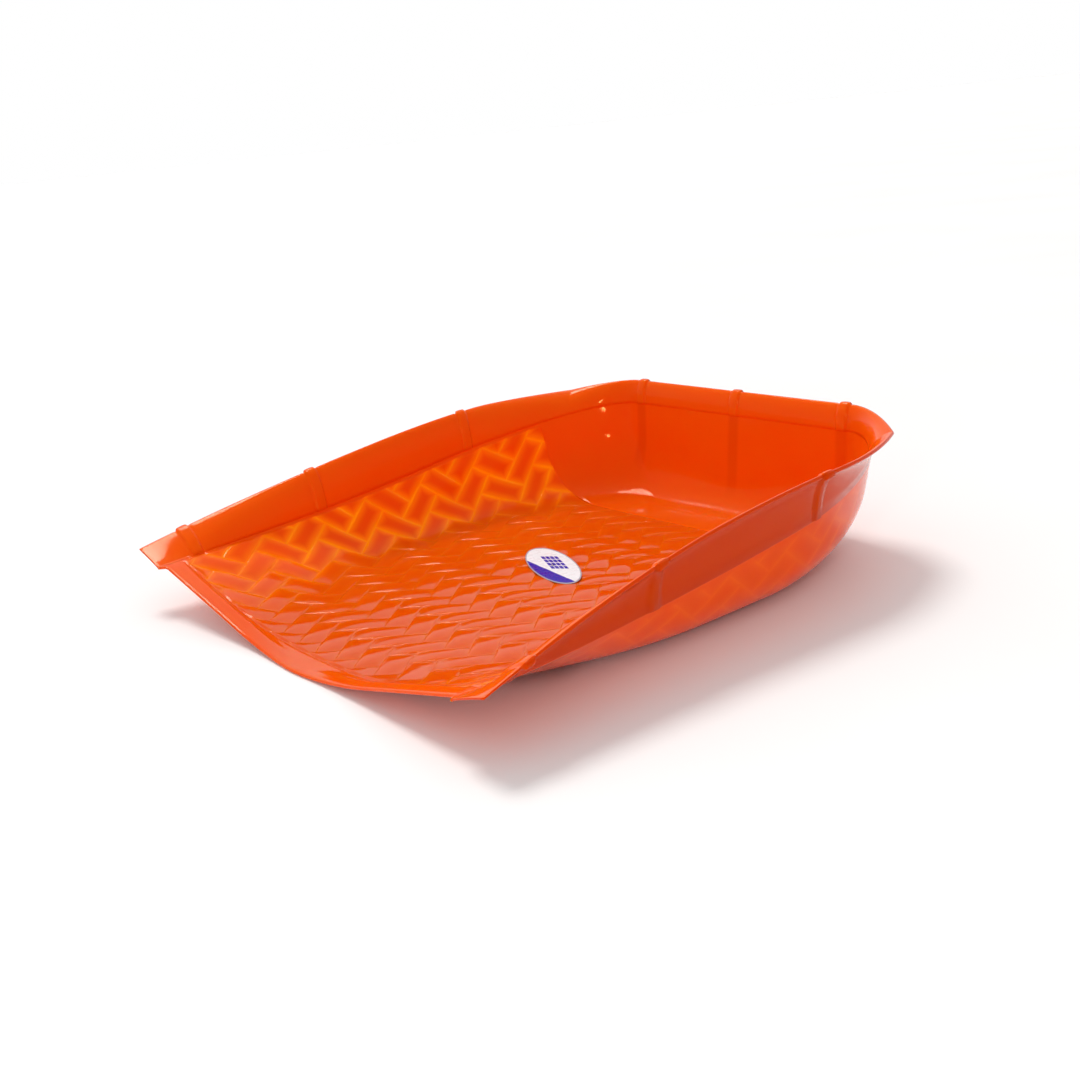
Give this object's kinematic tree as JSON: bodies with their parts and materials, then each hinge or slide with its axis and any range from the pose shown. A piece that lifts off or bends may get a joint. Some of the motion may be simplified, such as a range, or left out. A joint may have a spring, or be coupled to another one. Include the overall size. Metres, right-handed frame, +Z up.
{
  "type": "winnowing scoop",
  "caption": "Open-fronted scoop tray with a flat floor, raised sides and rear wall and a rolled rim, for winnowing, sifting and carrying dry goods.",
  "frame": {"origin": "middle of the underside box, on the plane the pan rests on", "axes": "+X across the pan, -Y out of the open mouth, +Z up"},
  "size_m": [0.4008, 0.3968, 0.0915],
  "materials": {
    "pan": "glossy, slightly translucent",
    "label": "satin printed film"
  },
  "bodies": {
    "root": {"pan": "pan", "label": "label"}
  },
  "joints": []
}
